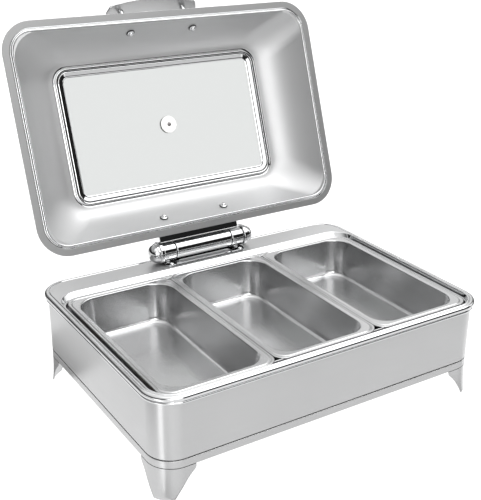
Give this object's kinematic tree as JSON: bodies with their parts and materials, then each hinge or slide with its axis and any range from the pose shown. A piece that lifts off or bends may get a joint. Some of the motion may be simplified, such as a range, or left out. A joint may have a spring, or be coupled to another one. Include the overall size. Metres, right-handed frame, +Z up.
{
  "type": "buffet chafer",
  "caption": "Rectangular stainless buffet chafer with side-by-side food pans in a skirted water pan and a windowed dome lid that swings up on a barrel hinge.",
  "frame": {"origin": "centre of the object's bounding box at floor level, with the lid up", "axes": "+X to the right along the front, +Y towards the hinge at the back, +Z up"},
  "size_m": [0.569, 0.5621, 0.5604],
  "materials": {
    "satin_steel": "satin",
    "polished_steel": "mirror polished",
    "dark_steel": "dull, heat coloured",
    "glass": "clear toughened",
    "black_rubber": "matte",
    "white_plastic": "smooth",
    "black_plastic": "fine texture",
    "lamp_lens": "clear amber"
  },
  "bodies": {
    "base": {"base_tray": "satin_steel", "base_housing": "satin_steel", "foot_front_left": "satin_steel", "foot_front_right": "satin_steel", "foot_rear_left": "satin_steel", "foot_rear_right": "satin_steel", "water_pan": "polished_steel", "heating_plate": "dark_steel", "heating_element": "dark_steel", "heat_shield": "satin_steel", "thermostat_body": "black_plastic", "control_plate": "black_plastic", "pilot_lamp": "lamp_lens", "power_inlet": "black_plastic", "hinge_base": "polished_steel", "hinge_base_screw_left": "polished_steel", "hinge_base_screw_right": "polished_steel", "hinge_sleeve_left": "polished_steel", "hinge_sleeve_right": "polished_steel", "hinge_cap_left": "polished_steel", "hinge_cap_right": "polished_steel", "hinge_shaft": "polished_steel"},
    "lid": {"lid_shell": "satin_steel", "window_gasket": "black_rubber", "window_frame": "polished_steel", "window_glass": "glass", "vent_disc_inner": "white_plastic", "vent_disc_outer": "white_plastic", "vent_rivet": "dark_steel", "lid_handle": "satin_steel", "handle_post_left": "polished_steel", "handle_post_right": "polished_steel", "handle_left_nut": "polished_steel", "handle_right_nut": "polished_steel", "hinge_barrel": "polished_steel", "hinge_leaf": "polished_steel", "leaf_left_nut": "polished_steel", "leaf_right_nut": "polished_steel", "leaf_left_screw": "polished_steel", "leaf_right_screw": "polished_steel"},
    "pan_left": {"food_pan_left": "satin_steel"},
    "pan_middle": {"food_pan_middle": "satin_steel"},
    "pan_right": {"food_pan_right": "satin_steel"},
    "knob": {"control_knob": "black_plastic"}
  },
  "joints": [
    {"name": "lid_hinge", "type": "hinge", "parent": "base", "child": "lid", "pos_m": [0, 0.1059, 0.1771], "axis": [-1, 0, 0], "range_deg": [-109.4, 0]},
    {"name": "pan_left_lift", "type": "slide", "parent": "base", "child": "pan_left", "axis": [0, 0, 1], "range_m": [0, 0.085]},
    {"name": "pan_middle_lift", "type": "slide", "parent": "base", "child": "pan_middle", "axis": [0, 0, 1], "range_m": [0, 0.085]},
    {"name": "pan_right_lift", "type": "slide", "parent": "base", "child": "pan_right", "axis": [0, 0, 1], "range_m": [0, 0.085]},
    {"name": "thermostat_turn", "type": "hinge", "parent": "base", "child": "knob", "pos_m": [0.15, 0.1256, 0.104], "axis": [0, -1, 0], "range_deg": [0, 270]}
  ]
}
